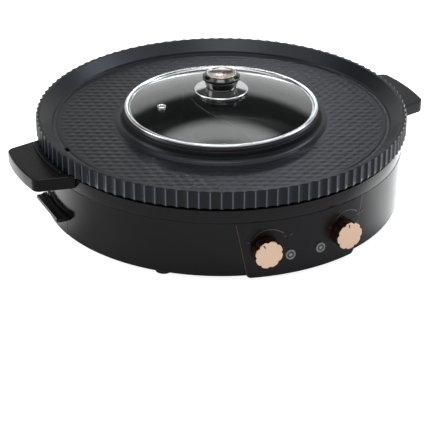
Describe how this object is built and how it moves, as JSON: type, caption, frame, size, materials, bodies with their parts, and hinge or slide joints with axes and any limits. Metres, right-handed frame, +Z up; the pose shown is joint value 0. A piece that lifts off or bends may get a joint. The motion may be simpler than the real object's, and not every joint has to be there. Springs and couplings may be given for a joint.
{
  "type": "electric hot pot with lid",
  "caption": "Round electric table grill with a fluted rim, a lift-out divided hot pot under a glass lid, turning control knobs, side handles, a pull-out drip tray and a mains lead.",
  "frame": {"origin": "on the table under the pot's axis, level with the undersides of the feet", "axes": "+Z up along the pot's axis; -Y out of the control panel; +X towards the right handle, -X towards the drip tray"},
  "size_m": [0.54, 0.6742, 0.1691],
  "materials": {
    "coated_aluminium": "dark non-stick coating, satin",
    "housing_plastic": "moulded black, satin gloss",
    "cover_steel": "black enamelled sheet",
    "handle_plastic": "fine moulded texture",
    "foot_rubber": "matt rubber",
    "screw_steel": "zinc plated",
    "shield_steel": "aluminised sheet",
    "element_steel": "oxidised tube",
    "heater_aluminium": "as cast",
    "thermostat_body": "moulded phenolic",
    "rose_gold": "rose gold plated",
    "lens_clear": "clear moulding",
    "lamp_glass": "small neon lamp",
    "pin_brass": "machined",
    "ceramic_white": "unglazed",
    "wire_sleeve": "silicone sleeve",
    "lead_pvc": "moulded black",
    "polished_steel": "polished",
    "chrome_plate": "mirror plated",
    "lid_glass": "tempered glass"
  },
  "bodies": {
    "base": {"base_housing": "housing_plastic", "bottom_cover": "cover_steel", "bottom_screws": "screw_steel", "foot_front_left": "foot_rubber", "foot_front_right": "foot_rubber", "foot_back_left": "foot_rubber", "foot_back_right": "foot_rubber", "handle_left": "handle_plastic", "handle_right": "handle_plastic", "handle_screws": "screw_steel", "control_panel": "housing_plastic", "panel_screws": "screw_steel", "heat_shield": "shield_steel", "grill_element": "element_steel", "element_clips": "shield_steel", "pot_well": "shield_steel", "well_posts": "shield_steel", "heater_supports": "shield_steel", "pot_heater_plate": "heater_aluminium", "thermostat_left": "thermostat_body", "thermostat_right": "thermostat_body", "indicator_lens_left": "lens_clear", "indicator_lens_right": "lens_clear", "indicator_lamps": "lamp_glass", "inlet_socket": "handle_plastic", "inlet_pins": "pin_brass", "inlet_screws": "screw_steel", "terminal_block": "ceramic_white", "thermal_fuse": "ceramic_white", "internal_wiring": "wire_sleeve", "tray_guide": "handle_plastic", "drain_chute": "handle_plastic"},
    "knob_left": {"knob_left": "rose_gold", "shaft_left": "screw_steel"},
    "knob_right": {"knob_right": "rose_gold", "shaft_right": "screw_steel"},
    "drip_tray": {"drip_tray": "handle_plastic"},
    "grill_plate": {"grill_plate": "coated_aluminium"},
    "pot": {"divided_pot": "coated_aluminium"},
    "lid": {"lid_ring": "polished_steel", "lid_glass": "lid_glass", "steam_vent": "polished_steel", "lid_knob_plate": "chrome_plate", "lid_knob": "handle_plastic", "lid_knob_cap": "chrome_plate", "lid_screw": "screw_steel", "lid_washer": "foot_rubber"},
    "lead": {"lead_connector": "lead_pvc", "connector_relief": "lead_pvc", "lead_cord": "lead_pvc", "plug_relief": "lead_pvc", "plug_body": "lead_pvc", "plug_blades": "pin_brass"}
  },
  "joints": [
    {"name": "knob_left_turn", "type": "hinge", "parent": "base", "child": "knob_left", "pos_m": [-0.0514, -0.21977, 0.0433], "axis": [-0.0872, -0.9962, 0], "range_deg": [-102, 63]},
    {"name": "knob_right_turn", "type": "hinge", "parent": "base", "child": "knob_right", "pos_m": [0.0514, -0.21977, 0.0433], "axis": [0.0872, -0.9962, 0], "range_deg": [-80, 85]},
    {"name": "drip_tray_slide", "type": "slide", "parent": "base", "child": "drip_tray", "axis": [-1, 0, 0], "range_m": [0, 0.068]},
    {"name": "grill_plate_lift", "type": "slide", "parent": "base", "child": "grill_plate", "axis": [0, 0, 1], "range_m": [0, 0.12]},
    {"name": "pot_lift", "type": "slide", "parent": "grill_plate", "child": "pot", "axis": [0, 0, 1], "range_m": [0, 0.1]},
    {"name": "lid_lift", "type": "slide", "parent": "pot", "child": "lid", "axis": [0, 0, 1], "range_m": [0, 0.09]},
    {"name": "lead_unplug", "type": "slide", "parent": "base", "child": "lead", "axis": [0, 1, 0], "range_m": [0, 0.03]}
  ]
}
